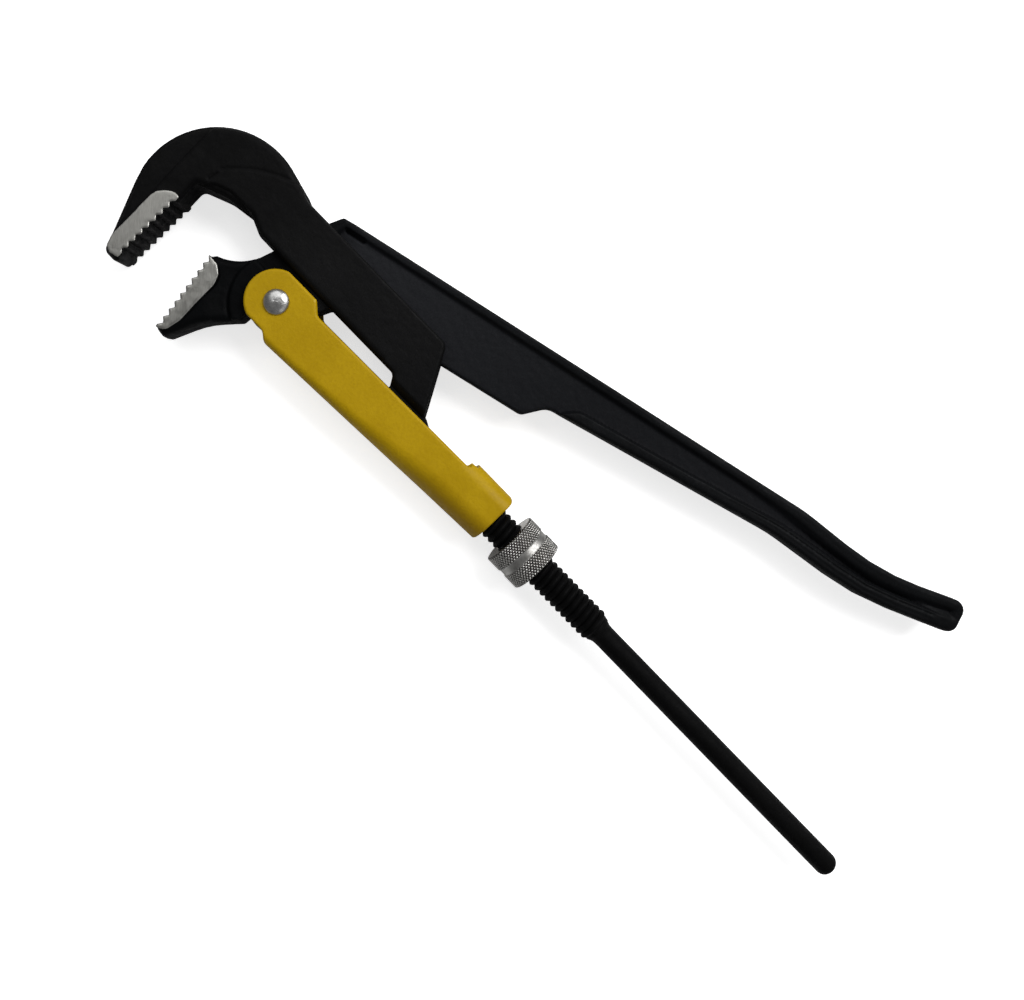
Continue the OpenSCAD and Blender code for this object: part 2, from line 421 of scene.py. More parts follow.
def lower_teeth(grid):
    """Field whose inside is behind the lower jaw's toothed face."""
    down = (math.sin(LOWER_TILT), -math.cos(LOWER_TILT))
    along = (grid.x - LOWER_TIP[0]) * down[0] + (grid.y - LOWER_TIP[1]) * down[1]
    out = (grid.x - LOWER_TIP[0]) * down[1] - (grid.y - LOWER_TIP[1]) * down[0]
    first = TOOTH_PITCH / 2
    gap = np.clip(np.round((along - first) / TOOTH_PITCH), 0, LOWER_GAPS - 1)
    off = np.abs(along - first - gap * TOOTH_PITCH) / (TOOTH_PITCH / 2)
    lean = 1 / math.hypot(1, TOOTH_DEPTH / (TOOTH_PITCH / 2))
    return (out + TOOTH_DEPTH * np.maximum(0, 1 - off)) * lean


# ---------------------------------------------------------------- upper jaw
SLOT = [
    (-35.5, 9),
    (-27.6, 36),
    (-27.6, 45),
    (90, 45),
    (90, 15.5),
    (66, 11.2),
    (43, 7.2),
    (42, 7.2),
    (42, 9),
]
# Outline of the ground side of the hook's jaw
HOOK_PATCH = [
    (-54.4, -5.1, 2),
    (-53.9, -2.8, 2),
    (-52.0, -0.5, 2),
    (-50.0, 1.0, 2),
    (-47.9, 1.4, 1.4),
    (-46.6, 0.6, 0.8),
    (-45.6, -1.6, 0.5),
    (-45, -26, 0),
    (-47, -27.2, 0.8),
    (-50.2, -28.0, 1),
    (-52.7, -26.9, 1.2),
    (-53.9, -23.5, 3),
]
# Outline of the lower border along the hook's mouth, closed outside the metal
MOUTH_BORDER = [
    (-46.4, 2.2, 0),
    (-46.0, 5.6, 0),
    (-45.2, 9.6, 2),
    (-42.6, 12.8, 3),
    (-37.1, 15.0, 6),
    (-31.2, 15.2, 8),
    (-25.5, 13.6, 6),
    (-20, 12.0, 4),
    (-6, 11.0, 0),
    (-6, 0, 0),
    (-42, -3, 0),
    (-44, 2, 0),
]
# Arc along the hook's back where its rim begins
RIM_CENTRE = (-11.3, -7.8)
RIM_R = 41.5
# Half thickness of the hook's cheeks, a little under its ground side
CHEEK_HALF = 7.35


def upper_jaw_head(step):
    """Hook, forked shank and neck."""
    grid = Grid((-65, -31, -9.2), (66, 36, 9.2), step)
    x, y, up = grid.x, grid.y, np.abs(grid.z)
    # Outlines at heights that pass through the cheeks, and through the neck below them
    outline = distance(grid, section("upper_jaw", 6.5))
    neck = distance(grid, section("upper_jaw", 5.85))
    # The teeth are filled in here, and cut again once the edges have been rounded
    toothed = np.maximum(
        np.maximum(HOOK_FACE_X - 3 - x, x - HOOK_FACE_X), np.maximum(-26 - y, y + 0.3)
    )
    outline = np.minimum(outline, toothed)

    # Half thickness: the cheeks, less a rim round the hook's back, a fallen outer flank and
    # a border along the mouth, each with a narrow furrow where it starts
    half = CHEEK_HALF + (SHANK_HALF - CHEEK_HALF) * smooth((x + 26) / 12)
    beyond_rim = np.hypot(x - RIM_CENTRE[0], y - RIM_CENTRE[1]) - RIM_R
    shown = smooth((y - 15) / 3) * smooth((-16 - x) / 6)
    half = half - shown * (0.2 * smooth(beyond_rim / 0.8) + 0.45 * furrow(beyond_rim, 0.5))
    beyond_crease = -55.2 - 0.045 * y - x
    half = half - 0.3 * smooth(beyond_crease / 0.7) - 0.55 * furrow(beyond_crease, 0.5)
    half = half - 0.10 * np.clip(beyond_crease, 0, 9)
    inside_border = -distance(grid, closed(rounded_corners(MOUTH_BORDER)))
    shown = smooth((-9 - x) / 8)
    border = 0.6 * smooth(inside_border / 0.7) + 0.2 * furrow(inside_border - 0.6, 0.5)
    half = half - shown * border
    notch = segment_distance(grid, (-44.9, 12.4), (-44.4, 15.6))
    half = half - 0.45 * furrow(notch, 0.5)
    # The cheek falls a little towards the ground side, which stands proud of it
    patch = distance(grid, closed(rounded_corners(HOOK_PATCH)))
    half = half - 0.2 * smooth((5 - patch) / 3)
    # The neck tapers into the sleeve
    taper = NECK_HALF + (SHANK_HALF - NECK_HALF) * smooth((y - 7.0) / 3.6)
    half = np.where(x > 36, np.minimum(half, taper), half)

    on_shank = smooth((x + 26) / 14)
    shank_edge = 0.7 + 1.5 * smooth((24 - y) / 8)
    edge = 2.0 + (shank_edge - 2.0) * on_shank
    edge = np.where(x > 38, np.minimum(edge, 1.2), edge)
    draft = 0.045 * up
    head = rounded_and(outline + draft, up - half, edge)
    rim = 0.15 * smooth(up - 6.5) + 0.5 * smooth((-48.5 - x) / 2) * smooth((up - 6) / 1.2)
    pad = np.maximum(rounded_and(patch, up - JAW_HALF, 0.3), outline + rim)
    head = np.minimum(head, pad)
    head = np.minimum(head, rounded_and(neck, up - NECK_HALF, 0.4))
    head = np.maximum(head, hook_teeth(grid))
    slot = rounded_and(distance(grid, closed(SLOT)), up - SLOT_HALF, 0.6)
    return surface(grid, np.maximum(head, -slot))


def upper_jaw_leg():
    """Threaded leg and plain rod: a right-handed helix that runs out into the rod."""
    steps = 64
    per_turn = 12
    end_x = cad_box_mm("upper_jaw")[1][0]
    thread_end = THREAD_X + THREAD_PITCH * THREAD_TURNS
    angle = 2 * math.pi * np.arange(steps) / steps
    turns = np.arange(per_turn * THREAD_TURNS + 1) / per_turn
    # 0 on a crest and 1 in a root; crests are broad and round, roots are narrow
    phase = turns[:, None] - angle[None, :] / (2 * math.pi)
    off_crest = 2 * np.abs(phase - np.round(phase))
    run_out = smooth((THREAD_TURNS - turns[:, None]) / 0.7)
    height = (THREAD_TOP - THREAD_ROOT) * (1 - off_crest**1.6) * run_out
    threaded = list(zip(THREAD_X + THREAD_PITCH * turns, THREAD_ROOT + height))

    round_r = 2.4
    plain = [(THREAD_X - 14, 0.0), (THREAD_X - 14, THREAD_ROOT)]
    after = [
        (thread_end + 0.4, THREAD_ROOT),
        (thread_end + 1.2, THREAD_ROOT - 0.45),
        (thread_end + 2.2, ROD_R + 0.12),
        (thread_end + 3.6, ROD_R),
    ]
    after += [(s, ROD_R) for s in np.linspace(thread_end + 8, end_x - 3.2, 24)]
    after += [
        (end_x - round_r * (1 - math.sin(a)), ROD_R - round_r * (1 - math.cos(a)))
        for a in np.radians(np.linspace(0, 78, 8))
    ]
    after += [(end_x, 1.2), (end_x, 0.0)]
    rings = plain + threaded + after
    along = np.array([x + np.zeros(steps) for x, _ in rings])
    radius = np.array([r + np.zeros(steps) for _, r in rings])
    return tube("leg", along, radius, on_leg, False)


# ---------------------------------------------------------------- lower jaw and handle
WEB_RECESS = [
    (-3.4, 34.2, 1.5),
    (171, 74.6, 60),
    (203, 77.8, 90),
    (229.8, 91.4, 0.8),
    (231.4, 87.6, 0.8),
    (205, 73.2, 80),
    (171, 67, 20),
    (150, 62.2, 20),
    (95.5, 46.2, 4),
    (89, 38, 0),
    (89, 20, 0),
    (46, 14, 0),
    (14, 20, 6),
    (-4.2, 30, 1.5),
]
# Outline of the ground side of the lower jaw
LOWER_PATCH = [
    (-31, -4.9, 0),
    (-25.5, -5.0, 1),
    (-22.6, -5.2, 2),
    (-19.9, -7.2, 3),
    (-18.5, -10.5, 5),
    (-18.4, -17.4, 9),
    (-17.9, -27, 6),
    (-19.0, -32.6, 3),
    (-21.4, -34, 1),
    (-27, -34.2, 0),
]
# Radius of the boss's raised ring round the lugs
BOSS_R = 16.4


def lower_jaw_solid(step):
    """Lower jaw, boss, tongue and handle."""
    grid = Grid((-29.5, -37.5, -8.4), (238, 97.5, 8.4), step)
    x, y, up = grid.x, grid.y, np.abs(grid.z)
    # Outlines at heights that pass through the jaw's sides, the boss and the handle's web
    jaw = distance(grid, section("lower_jaw", 7.0))
    boss = distance(grid, section("lower_jaw", 5.5))
    whole = distance(grid, section("lower_jaw", 2.0))

    # Handle: flanges stand round a web, and their inner sides lean more towards the grip's end
    recess = distance(grid, closed(rounded_corners(WEB_RECESS)))
    middle = np.interp(x, [0, 150, 171, 205, 234], [20, 65.5, 71.2, 77.2, 88.6])
    upper_side = smooth((y - middle + 1) / 2)
    # The lower flange keeps its width along the bend of the grip
    width = np.interp(x, [150, 190], [3.6, 4.5])
    off_flange = np.where((y < middle) & (x > 140), width + whole, -9)
    towards_grip = smooth((x - 148) / 32)
    lean = 1.6 + 1.9 * towards_grip * upper_side - 0.7 * (1 - upper_side)
    floor_half = WEB_HALF - 0.8 * towards_grip
    flange = FLANGE_HALF - 0.35 * smooth(1 - recess / 3.2) * upper_side
    sunk = np.minimum(smooth(-recess / lean), smooth(-off_flange / 1.1))
    half = flange - (flange - floor_half) * sunk
    pocket = segment_distance(grid, (-1.4, 33.3), (4.6, 34.7)) - 1.0
    half = half - 0.9 * smooth(-pocket / 0.7)
    # Fine furrows follow the lower flange, one on each side of its crown
    lines = furrow(width + whole - 0.6, 0.4) + 0.7 * furrow(whole + 2.2, 0.35)
    lines = lines * smooth((x - 140) / 25) * smooth((228 - x) / 4) * (y < middle)
    half = half - 0.4 * lines
    edge = 1.0 + 0.9 * smooth((x - 90) / 40)
    draft = 0.05 * up
    handle = rounded_and(whole + draft, up - half, edge)

    # Jaw: a waist between its ground side and the boss, which stands up round the lugs
    reach = np.hypot(x, y)
    body_half = 5.5 + 1.4 * smooth((reach - 17.2) / 8) - 0.5 * furrow(reach - 17.0, 0.6)
    body = rounded_and(boss + draft, up - body_half, 2.2)
    patch = distance(grid, closed(rounded_corners(LOWER_PATCH)))
    pad = np.maximum(rounded_and(patch, up - JAW_HALF, 0.3), jaw)
    ring = rounded_and(boss + draft, reach - BOSS_R, 0.3)
    ring = rounded_and(ring, up - BOSS_HALF, 0.7)
    field = np.minimum(fillet_or(handle, body, 0.8), ring)
    field = np.minimum(field, pad)
    near_teeth = (x < LOWER_TIP[0] + 12) & (y < LOWER_TIP[1] + 2)
    field = np.where(near_teeth, np.maximum(field, lower_teeth(grid)), field)
    # Nothing of the fillets may reach into the sleeve's lugs or the rivet's hole
    field = np.where(reach < BOSS_R - 1.5, np.maximum(field, up - BOSS_HALF), field)
    return surface(grid, np.maximum(field, RIVET_HOLE_R - reach))


# ---------------------------------------------------------------- sleeve
SLEEVE_OUTLINE = arc((-0.7, 0), 10.5, 109.5, 250.5, 40) + [
    (3.6, -9.9, 3),
    (6.8, -13.2, 2),
    (COLLAR_X1, -8.9, 0.8),
    (COLLAR_X1, COLLAR_TOP, 1.8),
    (COLLAR_X0, COLLAR_TOP, 1),
    (COLLAR_X0 - 0.6, 7.3, 0.6),
    (12.6, 6.4, 2),
    (8.6, 9.9, 1),
]


def sleeve_solid(step):
    """Pressed channel with two lugs, closed round the leg at its collar."""
    grid = Grid((-12.5, -15, -9.6), (102.5, 11.8, 9.6), step)
    x, y, up = grid.x, grid.y, np.abs(grid.z)
    outline = distance(grid, closed(rounded_corners(SLEEVE_OUTLINE)))
    rise = -(x - COLLAR_X1) * math.sin(BACK_TILT) + (y - LEG_Y) * math.cos(BACK_TILT)
    round_bottom = np.hypot(np.minimum(rise, 0), up)
    # The bottom is nearly square at the lugs and becomes fully round towards the collar
    corner = np.interp(x, [10, 45, 78], [2.6, 4.6, SLEEVE_HALF - 0.2])
    outer = rounded_and(-rise - SLEEVE_HALF, up - SLEEVE_HALF, corner)
    solid = rounded_and(outline, outer, 0.9)
    top = rounded_and(up - SLEEVE_HALF, y - COLLAR_TOP, 5.5)
    solid = np.where(x > COLLAR_X0 - 3, np.maximum(solid, top), solid)

    channel = rounded_and(round_bottom - CHANNEL_HALF, x - COLLAR_X0 - 1.5, 0.4)
    flat = up - CHANNEL_HALF - 0.05
    between_lugs = rounded_and(flat, x - EAR_X, 0.4)
    round_boss = rounded_and(flat, np.hypot(x, y) - BOSS_ROOM_R, 0.4)
    bore = np.hypot(y - LEG_Y, up) - BORE
    bore = np.where(x > COLLAR_X0 - 30, bore, 9)
    hole = np.hypot(x, y) - RIVET_HOLE_R
    hollow = np.minimum(np.minimum(channel, between_lugs), round_boss)
    hollow = np.minimum(np.minimum(hollow, bore), hole)
    return surface(grid, rounded_and(solid, -hollow, 0.45))


# ---------------------------------------------------------------- nut and rivet
def nut_mesh():
    """Round nut: two diamond-knurled bands with a smooth groove between them."""
    length = NUT_HIGH[0] - NUT_LOW[0]
    r = NUT_R
    dip = 0.35
    chamfer = 0.35
    depth = 0.40
    diamonds = 54
    steps = diamonds * 8
    face = [
        (0, BORE),
        (0, BORE + 0.5),
        (0, r - chamfer - depth - 0.3),
        (0.03, r - chamfer - depth),
    ]
    band = [(s, r) for s in np.linspace(0.1, NUT_BAND, 42)]
    valley = [
        (NUT_BAND + 0.15, r - dip),
        (NUT_BAND + NUT_GROOVE * 0.2, r - dip - 0.03),
        (NUT_BAND + NUT_GROOVE * 0.5, r - dip - 0.05),
    ]
    half = face + band + valley
    profile = half + [(length - s, rad) for s, rad in reversed(half[:-1])]
    along = np.array([p[0] for p in profile])[:, None] * np.ones(steps)
    base = np.array([p[1] for p in profile])[:, None] * np.ones(steps)
    turn = np.arange(steps)[None, :] / steps * diamonds
    slant = 0.8 * along / (2 * math.pi * r / diamonds)
    ridges = [np.abs((turn + side * slant) % 1 - 0.5) * 2 for side in (1, -1)]
    bump = np.clip(1.5 * np.minimum(*ridges), 0, 1)
    on_band = base > r - 0.01
    from_end = np.minimum(along, length - along)
    fallen = chamfer * (1 - np.clip(from_end / chamfer, 0, 1))
    radius = np.where(on_band, r - fallen - depth * (1 - bump), base)
    return tube("adjusting_nut_knurled", along + NUT_LOW[0], radius, on_leg, True)


def rivet_mesh():
    """Rivet closed over both lugs by hammered button heads."""
    high = cad_box_mm("rivet")[1]
    top, head = high[2], high[0]
    steps = 72
    flat = top - SLEEVE_HALF
    dome = [
        (head * math.sin(a), SLEEVE_HALF + flat * math.cos(a))
        for a in np.radians(np.linspace(0, 88, 22))
    ]
    profile = dome + [(head, SLEEVE_HALF + 0.02), (RIVET_R, SLEEVE_HALF - 0.02)]
    profile += [(r, -z) for r, z in reversed(profile)]
    radius = np.array([p[0] for p in profile])[:, None] * np.ones(steps)
    height = np.array([p[1] for p in profile])[:, None] * np.ones(steps)
    angle = 2 * math.pi * np.arange(steps)[None, :] / steps
    # Hammer marks: shallow waves over the heads that die out at the centre and the rim
    marks = 0.03 * np.sin(3 * angle + 1.1) * np.sin(radius * 1.9)
    marks += 0.015 * np.sin(5 * angle + 0.4) * np.sin(radius * 2.9 + 1)
    on_head = (radius > 0.3) & (radius < head - 0.3) & (np.abs(height) > SLEEVE_HALF)
    height = height + np.where(on_head, marks * np.sign(height) - 0.03 * np.sign(height), 0)

    def upright(along, across, rise):
        return np.stack([across, rise, along], axis=-1)

    return tube("rivet_heads", height, radius, upright, False)


# ---------------------------------------------------------------- materials
# Turns the grinding lines of the jaws' sides onto one axis
GRIND_TURN = math.radians(-40)


class Shader:
    """A material and short calls that add its nodes."""

    def __init__(self, name):
        self.material = bpy.data.materials.new(name)
        self.material.use_nodes = True
        self.tree = self.material.node_tree
        self.tree.nodes.clear()
        self.where = self.add("ShaderNodeTexCoord").outputs["Object"]

    def add(self, kind, settings=None, **inputs):
        node = self.tree.nodes.new(kind)
        for key, value in (settings or {}).items():
            setattr(node, key, value)
        for key, value in inputs.items():
            self.feed(node.inputs[key.replace("_", " ")], value)
        return node

    def feed(self, socket, value):
        if isinstance(value, bpy.types.NodeSocket):
            self.tree.links.new(value, socket)
        elif hasattr(socket.default_value, "__len__") and len(value) == 3:
            socket.default_value = (*value, 1)[: len(socket.default_value)]
        else:
            socket.default_value = value

    def math(self, operation, a, b=0.0):
        node = self.add("ShaderNodeMath", {"operation": operation})
        self.feed(node.inputs[0], a)
        self.feed(node.inputs[1], b)
        return node.outputs[0]

    def span(self, value, a, b, to_a=0.0, to_b=1.0):
        """Smoothly maps value from the span a..b to the span to_a..to_b."""
        node = self.add("ShaderNodeMapRange", {"interpolation_type": "SMOOTHSTEP"})
        for key, x in zip(("Value", "From Min", "From Max", "To Min", "To Max"),
                          (value, a, b, to_a, to_b)):
            self.feed(node.inputs[key], x)
        return node.outputs["Result"]

    def noise(self, size_mm, detail=3.0, rough=0.55, stretch=None, turn=0.0):
        """Noise whose features are about size_mm wide, drawn out where stretch is small."""
        where = self.where
        if stretch:
            node = self.add("ShaderNodeMapping", Vector=where)
            node.inputs["Rotation"].default_value = (0, 0, turn)
            node = self.add("ShaderNodeMapping", Vector=node.outputs["Vector"])
            node.inputs["Scale"].default_value = stretch
            where = node.outputs["Vector"]
        return self.add(
            "ShaderNodeTexNoise", None, Vector=where, Scale=1 / (size_mm * MM),
            Detail=detail, Roughness=rough,
        ).outputs["Fac"]

    def mix(self, share, a, b):
        node = self.add("ShaderNodeMix", {"data_type": "RGBA"})
        self.feed(node.inputs["Factor"], share)
        self.feed(node.inputs["A"], a)
        self.feed(node.inputs["B"], b)
        return node.outputs["Result"]

    def tint(self, a, b):
        """One colour times another."""
        node = self.add("ShaderNodeMix", {"data_type": "RGBA", "blend_type": "MULTIPLY"})
        node.inputs["Factor"].default_value = 1.0
        self.feed(node.inputs["A"], a)
        self.feed(node.inputs["B"], b)
        return node.outputs["Result"]

    def bump(self, height, depth_mm, normal=None):
        node = self.add("ShaderNodeBump", None, Height=height, Distance=depth_mm * MM)
        node.inputs["Strength"].default_value = 1.0
        if normal is not None:
            self.feed(node.inputs["Normal"], normal)
        return node.outputs["Normal"]

    def finish(self, **inputs):
        surface_node = self.add("ShaderNodeBsdfPrincipled")
        for key, value in inputs.items():
            self.feed(surface_node.inputs[key.replace("_", " ")], value)
        out = self.add("ShaderNodeOutputMaterial")
        self.tree.links.new(surface_node.outputs[0], out.inputs[0])
        return self.material


def axes(shader):
    """x, y and z of the shaded point, in metres in the shared frame."""
    node = shader.add("ShaderNodeSeparateXYZ", None, Vector=shader.where)
    return node.outputs["X"], node.outputs["Y"], node.outputs["Z"]


def ground_steel(shader, corner_low, corner_high):
    """Where a jaw's side is ground bare: high enough, and inside a box seen from above.
    Returns the share of bare steel, its colour and the height of its grinding lines."""
    x, y, z = axes(shader)
    up = shader.math("ABSOLUTE", z)
    share = shader.span(up, (JAW_HALF - 0.16) * MM, (JAW_HALF - 0.08) * MM)
    limits = zip((x, y), corner_low, corner_high, RIVET[:2])
    for value, low, high, origin in limits:
        inside = shader.math("GREATER_THAN", value, float((low + origin) * MM))
        share = shader.math("MULTIPLY", share, inside)
        inside = shader.math("LESS_THAN", value, float((high + origin) * MM))
        share = shader.math("MULTIPLY", share, inside)
    lines = shader.noise(0.30, 2.0, 0.6, (1.0, 0.10, 1.0), GRIND_TURN)
    patches = shader.noise(5.0, 2.0)
    tone = shader.math("ADD", shader.math("MULTIPLY", lines, 0.7),
                       shader.math("MULTIPLY", patches, 0.3))
    colour = shader.mix(shader.span(tone, 0.3, 0.7), (0.32, 0.316, 0.295), (0.43, 0.425, 0.40))
    return share, colour, lines


def coated_forging(name, base, web_tint, bare_low, bare_high, lightness_along_x):
    """Black-coated forging: fine-grained coat over an uneven forged skin, with ground jaw sides.
    lightness_along_x gives how much the coat's colour and specular level are scaled at places along
    x, in millimetres."""
    shader = Shader(name)
    x, y, z = axes(shader)
    # The coat's colour is scaled along x, lightest near the rivet and darker towards both ends; its
    # specular level follows
    ramp = shader.add("ShaderNodeValToRGB")
    first, last = lightness_along_x[0][0], lightness_along_x[-1][0]
    place = [float((v + RIVET[0]) * MM) for v in (first, last)]
    share_along = shader.math("DIVIDE", shader.math("SUBTRACT", x, place[0]), place[1] - place[0])
    shader.feed(ramp.inputs["Fac"], share_along)
    stops = ramp.color_ramp.elements
    for at, tone in lightness_along_x[1:-1]:
        stops.new((at - first) / (last - first))
    for stop, (at, tone) in zip(stops, lightness_along_x):
        stop.color = (tone, tone, tone, 1)
    grain = shader.noise(0.28, 3.0, 0.65)
    skin = shader.noise(2.6, 3.0, 0.5)
    cloud = shader.noise(14.0, 3.0, 0.5)
    level = shader.span(shader.math("ABSOLUTE", z), 2.6 * MM, 4.2 * MM)
    dark = tuple(0.55 * c for c in base)
    light = tuple(1.5 * c for c in base)
    coat = shader.mix(shader.span(grain, 0.3, 0.7), dark, light)
    coat = shader.mix(shader.span(cloud, 0.35, 0.65, 0, 0.45), coat, dark)
    low = shader.mix(shader.span(grain, 0.3, 0.7), tuple(0.7 * c for c in web_tint),
                     tuple(1.3 * c for c in web_tint))
    coat = shader.mix(level, low, coat)
    # Painted shade: hollows and creases are coloured darker. Painted highlight: sharp edges are
    # coloured a little paler. The specular level follows the same tone
    bend = shader.add("ShaderNodeNewGeometry").outputs["Pointiness"]
    hollow = shader.span(bend, 0.455, 0.49, 0.35, 1.0)
    painted_edge_highlight = shader.span(bend, 0.53, 0.60, 1.0, 1.4)
    tone = shader.math("MULTIPLY", shader.math("MULTIPLY", hollow, painted_edge_highlight), ramp.outputs["Color"])
    coat = shader.tint(coat, tone)
    shine = shader.math("MULTIPLY", tone, 0.07)
    share, steel, lines = ground_steel(shader, bare_low, bare_high)
    colour = shader.mix(share, coat, steel)
    coat_rough = shader.span(skin, 0.3, 0.7, 0.46, 0.62)
    rough = shader.math("ADD", shader.math("MULTIPLY", share, -0.16), coat_rough)
    rough_skin = shader.math("MULTIPLY", shader.math("SUBTRACT", 1.0, share), skin)
    normal = shader.bump(rough_skin, 0.25)
    fine = shader.mix(share, grain, lines)
    normal = shader.bump(fine, 0.05, normal)
    return shader.finish(
        Base_Color=colour, Metallic=share, Roughness=rough, Normal=normal,
        Specular_IOR_Level=shader.math("ADD", shader.math("MULTIPLY", share, 0.35), shine),
    )


def yellow_coat():
    """Mustard powder coat over pressed sheet: orange peel, painted shade on the lower side towards
    the collar, painted highlights on edges, painted shade in creases, a few worn specks.
    """
    shader = Shader("yellow_powder_coat")
    peel = shader.noise(0.9, 2.0, 0.5)
    fine = shader.noise(0.22, 2.0, 0.6)
    cloud = shader.noise(11.0, 4.0, 0.6)
    speck = shader.noise(0.8, 4.0, 0.7)
    x, y, z = axes(shader)
    # Painted shade: the lower side towards the collar is coloured darker and browner
    near_collar = shader.span(x, float(RIVET[0] + 60) * MM, float(RIVET[0] + 98) * MM)
    low_side = shader.span(y, float(RIVET[1] + 1.5) * MM, float(RIVET[1] - 7) * MM)
    darkening = shader.math("MULTIPLY", near_collar, low_side)
    colour = shader.mix(shader.span(cloud, 0.3, 0.7), (0.395, 0.247, 0.0016), (0.44, 0.280, 0.0022))
    colour = shader.mix(shader.span(peel, 0.25, 0.6, 0.25, 0), colour, (0.31, 0.18, 0.002))
    colour = shader.mix(shader.span(speck, 0.70, 0.76, 0, 0.55), colour, (0.18, 0.11, 0.01))
    colour = shader.mix(shader.math("MULTIPLY", darkening, 0.5), colour, (0.20, 0.10, 0.002))
    rough = shader.span(cloud, 0.3, 0.7, 0.42, 0.52)
    normal = shader.bump(peel, 0.10)
    normal = shader.bump(fine, 0.02, normal)
    # Painted highlight on sharp edges and painted shade in creases, both read from the mesh's
    # pointiness
    bend = shader.add("ShaderNodeNewGeometry").outputs["Pointiness"]
    colour = shader.mix(shader.span(bend, 0.53, 0.60, 0, 0.35), colour, (0.66, 0.50, 0.10))
    colour = shader.mix(shader.span(bend, 0.46, 0.49, 0.5, 0), colour, (0.16, 0.085, 0.002))
    return shader.finish(
        Base_Color=colour, Roughness=rough, Normal=normal, Specular_IOR_Level=0.12
    )


def steel(name, dark, light, rough_low, rough_high, grain_mm, darkening, hollow_r=None):
    """Bare steel with fine brush marks, mottling and dark soiling. Where hollow_r is given, the
    knurl, which lies within half a millimetre below that radius about the leg, is coloured dark in
    its valleys."""
    shader = Shader(name)
    brush = shader.noise(grain_mm, 3.0, 0.6)
    mottle = shader.noise(2.2, 3.0, 0.6)
    spots = shader.noise(0.9, 3.0, 0.65)
    colour = shader.mix(shader.span(mottle, 0.3, 0.7), dark, light)
    colour = shader.mix(shader.span(spots, 0.60, 0.74, 0, darkening), colour, (0.05, 0.045, 0.04))
    if hollow_r:
        x, y, z = axes(shader)
        y = shader.math("SUBTRACT", y, float((RIVET[1] + LEG_Y) * MM))
        square = shader.math("ADD", shader.math("MULTIPLY", y, y), shader.math("MULTIPLY", z, z))
        radius = shader.math("SQRT", square)
        x0 = float(NUT_LOW[0] + NUT_BAND + RIVET[0]) * MM
        x1 = float(NUT_HIGH[0] - NUT_BAND + RIVET[0]) * MM
        before = shader.math("SUBTRACT", x0, x)
        after = shader.math("SUBTRACT", x, x1)
        side = shader.math("MAXIMUM", before, after)
        on_band = shader.math("GREATER_THAN", side, 0.0)
        # The knurl's valleys are coloured dark
        deep = shader.span(radius, (hollow_r - 0.34) * MM, (hollow_r - 0.04) * MM, 1, 0)
        deep = shader.math("MULTIPLY", deep, on_band)
        in_knurl = shader.math("GREATER_THAN", radius, (hollow_r - 0.55) * MM)
        deep = shader.math("MULTIPLY", deep, in_knurl)
        colour = shader.mix(deep, colour, (0.035, 0.033, 0.03))
        colour = shader.mix(on_band, shader.tint(colour, (0.72, 0.72, 0.72)), colour)
    rough = shader.span(brush, 0.3, 0.7, rough_low, rough_high)
    if hollow_r:
        rough = shader.math("ADD", rough, shader.math("MULTIPLY", on_band, -0.2))
    normal = shader.bump(brush, 0.03)
    normal = shader.bump(mottle, 0.03, normal)
    return shader.finish(Base_Color=colour, Metallic=1.0, Roughness=rough, Normal=normal)


# ---------------------------------------------------------------- the pieces
FINE = 0.36
HANDLE_FINE = 0.40
SLEEVE_FINE = 0.33

upper = piece("upper_jaw_forging", mesh_from("upper_jaw_forging", *upper_jaw_head(FINE)))
thin_out(upper, 130000)
leg = piece("leg", upper_jaw_leg())
join_solid(upper, leg)
lower = piece("lower_jaw_and_handle", mesh_from("lower_jaw", *lower_jaw_solid(HANDLE_FINE)))
thin_out(lower, 160000)
sleeve = piece("yellow_sleeve", mesh_from("yellow_sleeve", *sleeve_solid(SLEEVE_FINE)))
thin_out(sleeve, 120000)
nut = piece("knurled_nut", nut_mesh())
rivet = piece("pivot_rivet", rivet_mesh())

upper_material = coated_forging(
    "black_coated_forging", (0.0050, 0.0050, 0.0052), (0.0045, 0.0045, 0.0048),
    (-58, -31), (-44, 3),
    [(-62, 0.72), (-30, 0.72), (0, 1.0), (50, 0.92), (75, 0.60), (264, 0.5)],
)
lower_material = coated_forging(
    "black_coated_handle", (0.0056, 0.0061, 0.0070), (0.0085, 0.0090, 0.0108),
    (-29, -36), (-16, -4),
    [(-30, 0.4), (-8, 0.45), (6, 1.35), (60, 1.0), (95, 0.78), (170, 0.76), (236, 0.62)],
)
PARTS = [
    (upper, "upper_jaw", "frame", "black_forging", upper_material),
    (lower, "lower_jaw", "handle", "handle_forging", lower_material),
    (sleeve, "sleeve", "slide", "yellow_coating", yellow_coat()),
    (nut, "adjusting_nut", "nut", "knurled_steel",
     steel("knurled_nut_steel", (0.36, 0.355, 0.34), (0.54, 0.53, 0.51),
           0.36, 0.46, 0.25, 0.5, NUT_R)),
    (rivet, "rivet", "slide", "bright_steel",
     steel("peened_rivet_steel", (0.36, 0.36, 0.355), (0.52, 0.515, 0.51),
           0.27, 0.36, 0.35, 0.3)),
]
for obj, node, body, finish, material in PARTS:
    obj.data.materials.clear()
    obj.data.materials.append(material)
    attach(obj, body)
    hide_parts(node)

# ---------------------------------------------------------------- floor, light and camera
low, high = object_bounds()
centre = (low + high) / 2
floor_mesh = bpy.data.meshes.new("floor")
reach = 12.0
floor_mesh.from_pydata(
    [(centre.x + sx * reach, centre.y + sy * reach, low.z) for sx, sy in
     ((-1, -1), (1, -1), (1, 1), (-1, 1))],
    [], [(0, 1, 2, 3)],
)
floor = bpy.data.objects.new("floor", floor_mesh)
bpy.context.scene.collection.objects.link(floor)
pale = Shader("pale_floor")
mottle = pale.noise(60.0, 2.0)
tone = pale.mix(mottle, (0.84, 0.84, 0.84), (0.87, 0.87, 0.87))
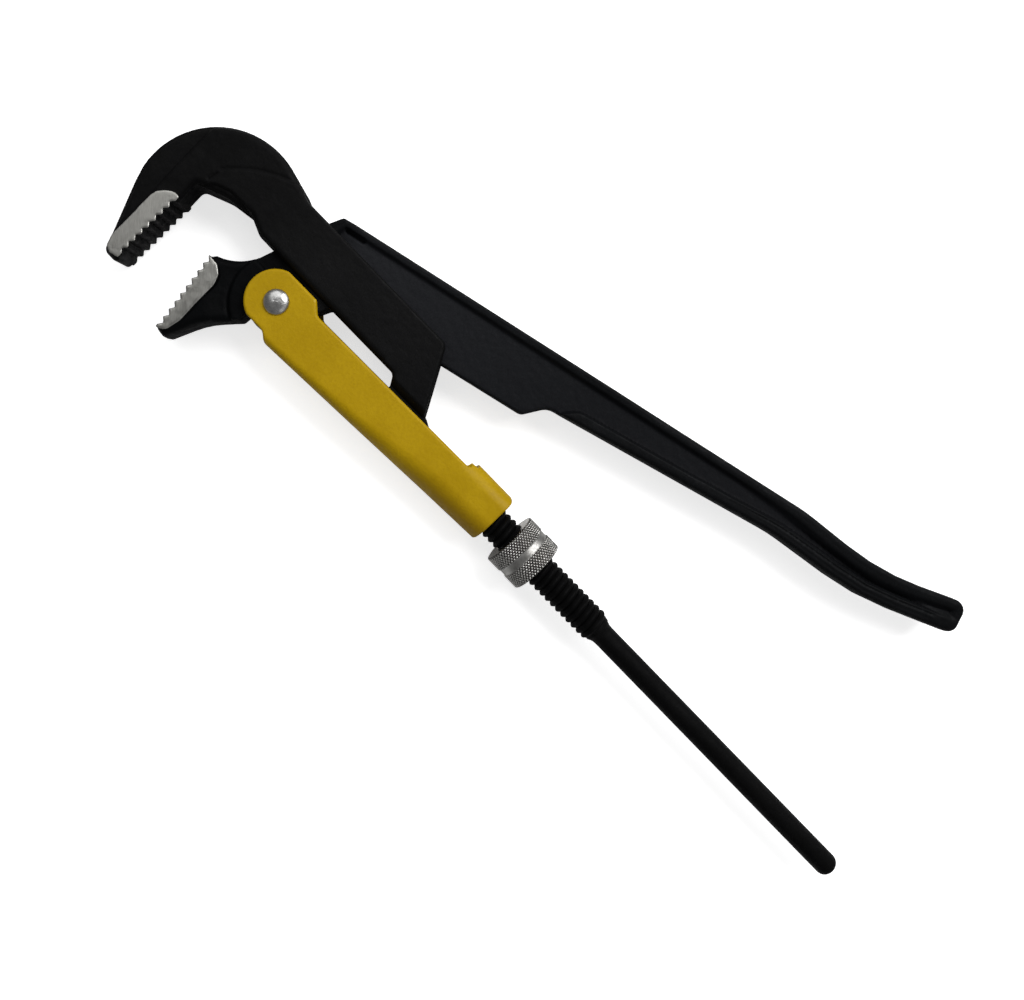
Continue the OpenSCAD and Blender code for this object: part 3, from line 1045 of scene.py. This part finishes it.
# The camera sees the floor lit a little from below, which keeps its shadows faint
seen = pale.add("ShaderNodeLightPath").outputs["Is Camera Ray"]
floor_mesh.materials.append(
    pale.finish(
        Base_Color=tone, Roughness=0.9, Specular_IOR_Level=0.0, Emission_Color=tone,
        Emission_Strength=pale.math("MULTIPLY", seen, 0.78),
    )
)


def area_light(name, offset, size, power):
    """Square soft light at an offset from the object's centre, facing it."""
    data = bpy.data.lights.new(name, "AREA")
    data.size = size
    data.energy = power
    lamp = bpy.data.objects.new(name, data)
    lamp.location = centre + Vector(offset)
    lamp.rotation_euler = (-Vector(offset)).to_track_quat("-Z", "Y").to_euler()
    bpy.context.scene.collection.objects.link(lamp)


area_light("key", (0.10, 1.00, 0.95), 0.9, 17)
area_light("fill", (-0.85, 0.41, 1.0), 1.0, 5)
area_light("side", (1.0, -0.2, 0.9), 0.8, 1.5)
world = bpy.data.worlds.new("studio")
world.use_nodes = True
background = world.node_tree.nodes["Background"]
background.inputs["Color"].default_value = (1, 1, 1, 1)
# The backdrop looks white to the camera and lights the tool softly
is_seen = world.node_tree.nodes.new("ShaderNodeLightPath").outputs["Is Camera Ray"]
strength = world.node_tree.nodes.new("ShaderNodeMapRange")
strength.inputs["To Min"].default_value = 0.18
strength.inputs["To Max"].default_value = 0.92
world.node_tree.links.new(is_seen, strength.inputs["Value"])
world.node_tree.links.new(strength.outputs["Result"], background.inputs["Strength"])
bpy.context.scene.world = world
bpy.context.scene.view_settings.view_transform = "Standard"

# The camera looks straight down; its frame is shifted, as in a crop of a larger picture
EYE = (67.8, 9.66, 292.0)
RIGHT = Vector((0.69709, 0.71699, 0))
UP = Vector((-0.71699, 0.69709, 0))
SHIFT = 70 / 1024
camera_data = bpy.data.cameras.new("camera")
camera_data.sensor_width = 36
camera_data.lens = 36 * 867 / 1024
camera = bpy.data.objects.new("camera", camera_data)
bpy.context.scene.collection.objects.link(camera)
camera.matrix_world = Matrix.Translation(Vector((RIVET + EYE) * MM)) @ Matrix(
    (RIGHT, UP, Vector((0, 0, 1)))
).transposed().to_4x4()
bpy.context.scene.camera = camera

home = bpy.data.objects.new("camera_home", None)
home.location = camera.location
bpy.context.scene.collection.objects.link(home)


def shift_at_home(path, value):
    """Drives a camera shift to its value at the camera's own place and to nothing elsewhere."""
    curve = camera_data.driver_add(path)
    driver = curve.driver
    driver.type = "AVERAGE"
    variable = driver.variables.new()
    variable.type = "LOC_DIFF"
    variable.targets[0].id = camera
    variable.targets[1].id = home
    for modifier in list(curve.modifiers):
        curve.modifiers.remove(modifier)
    for away, amount in ((0.0, value), (0.05, 0.0)):
        curve.keyframe_points.insert(away, amount).interpolation = "LINEAR"
    curve.extrapolation = "CONSTANT"


shift_at_home("shift_x", SHIFT)
shift_at_home("shift_y", -SHIFT)
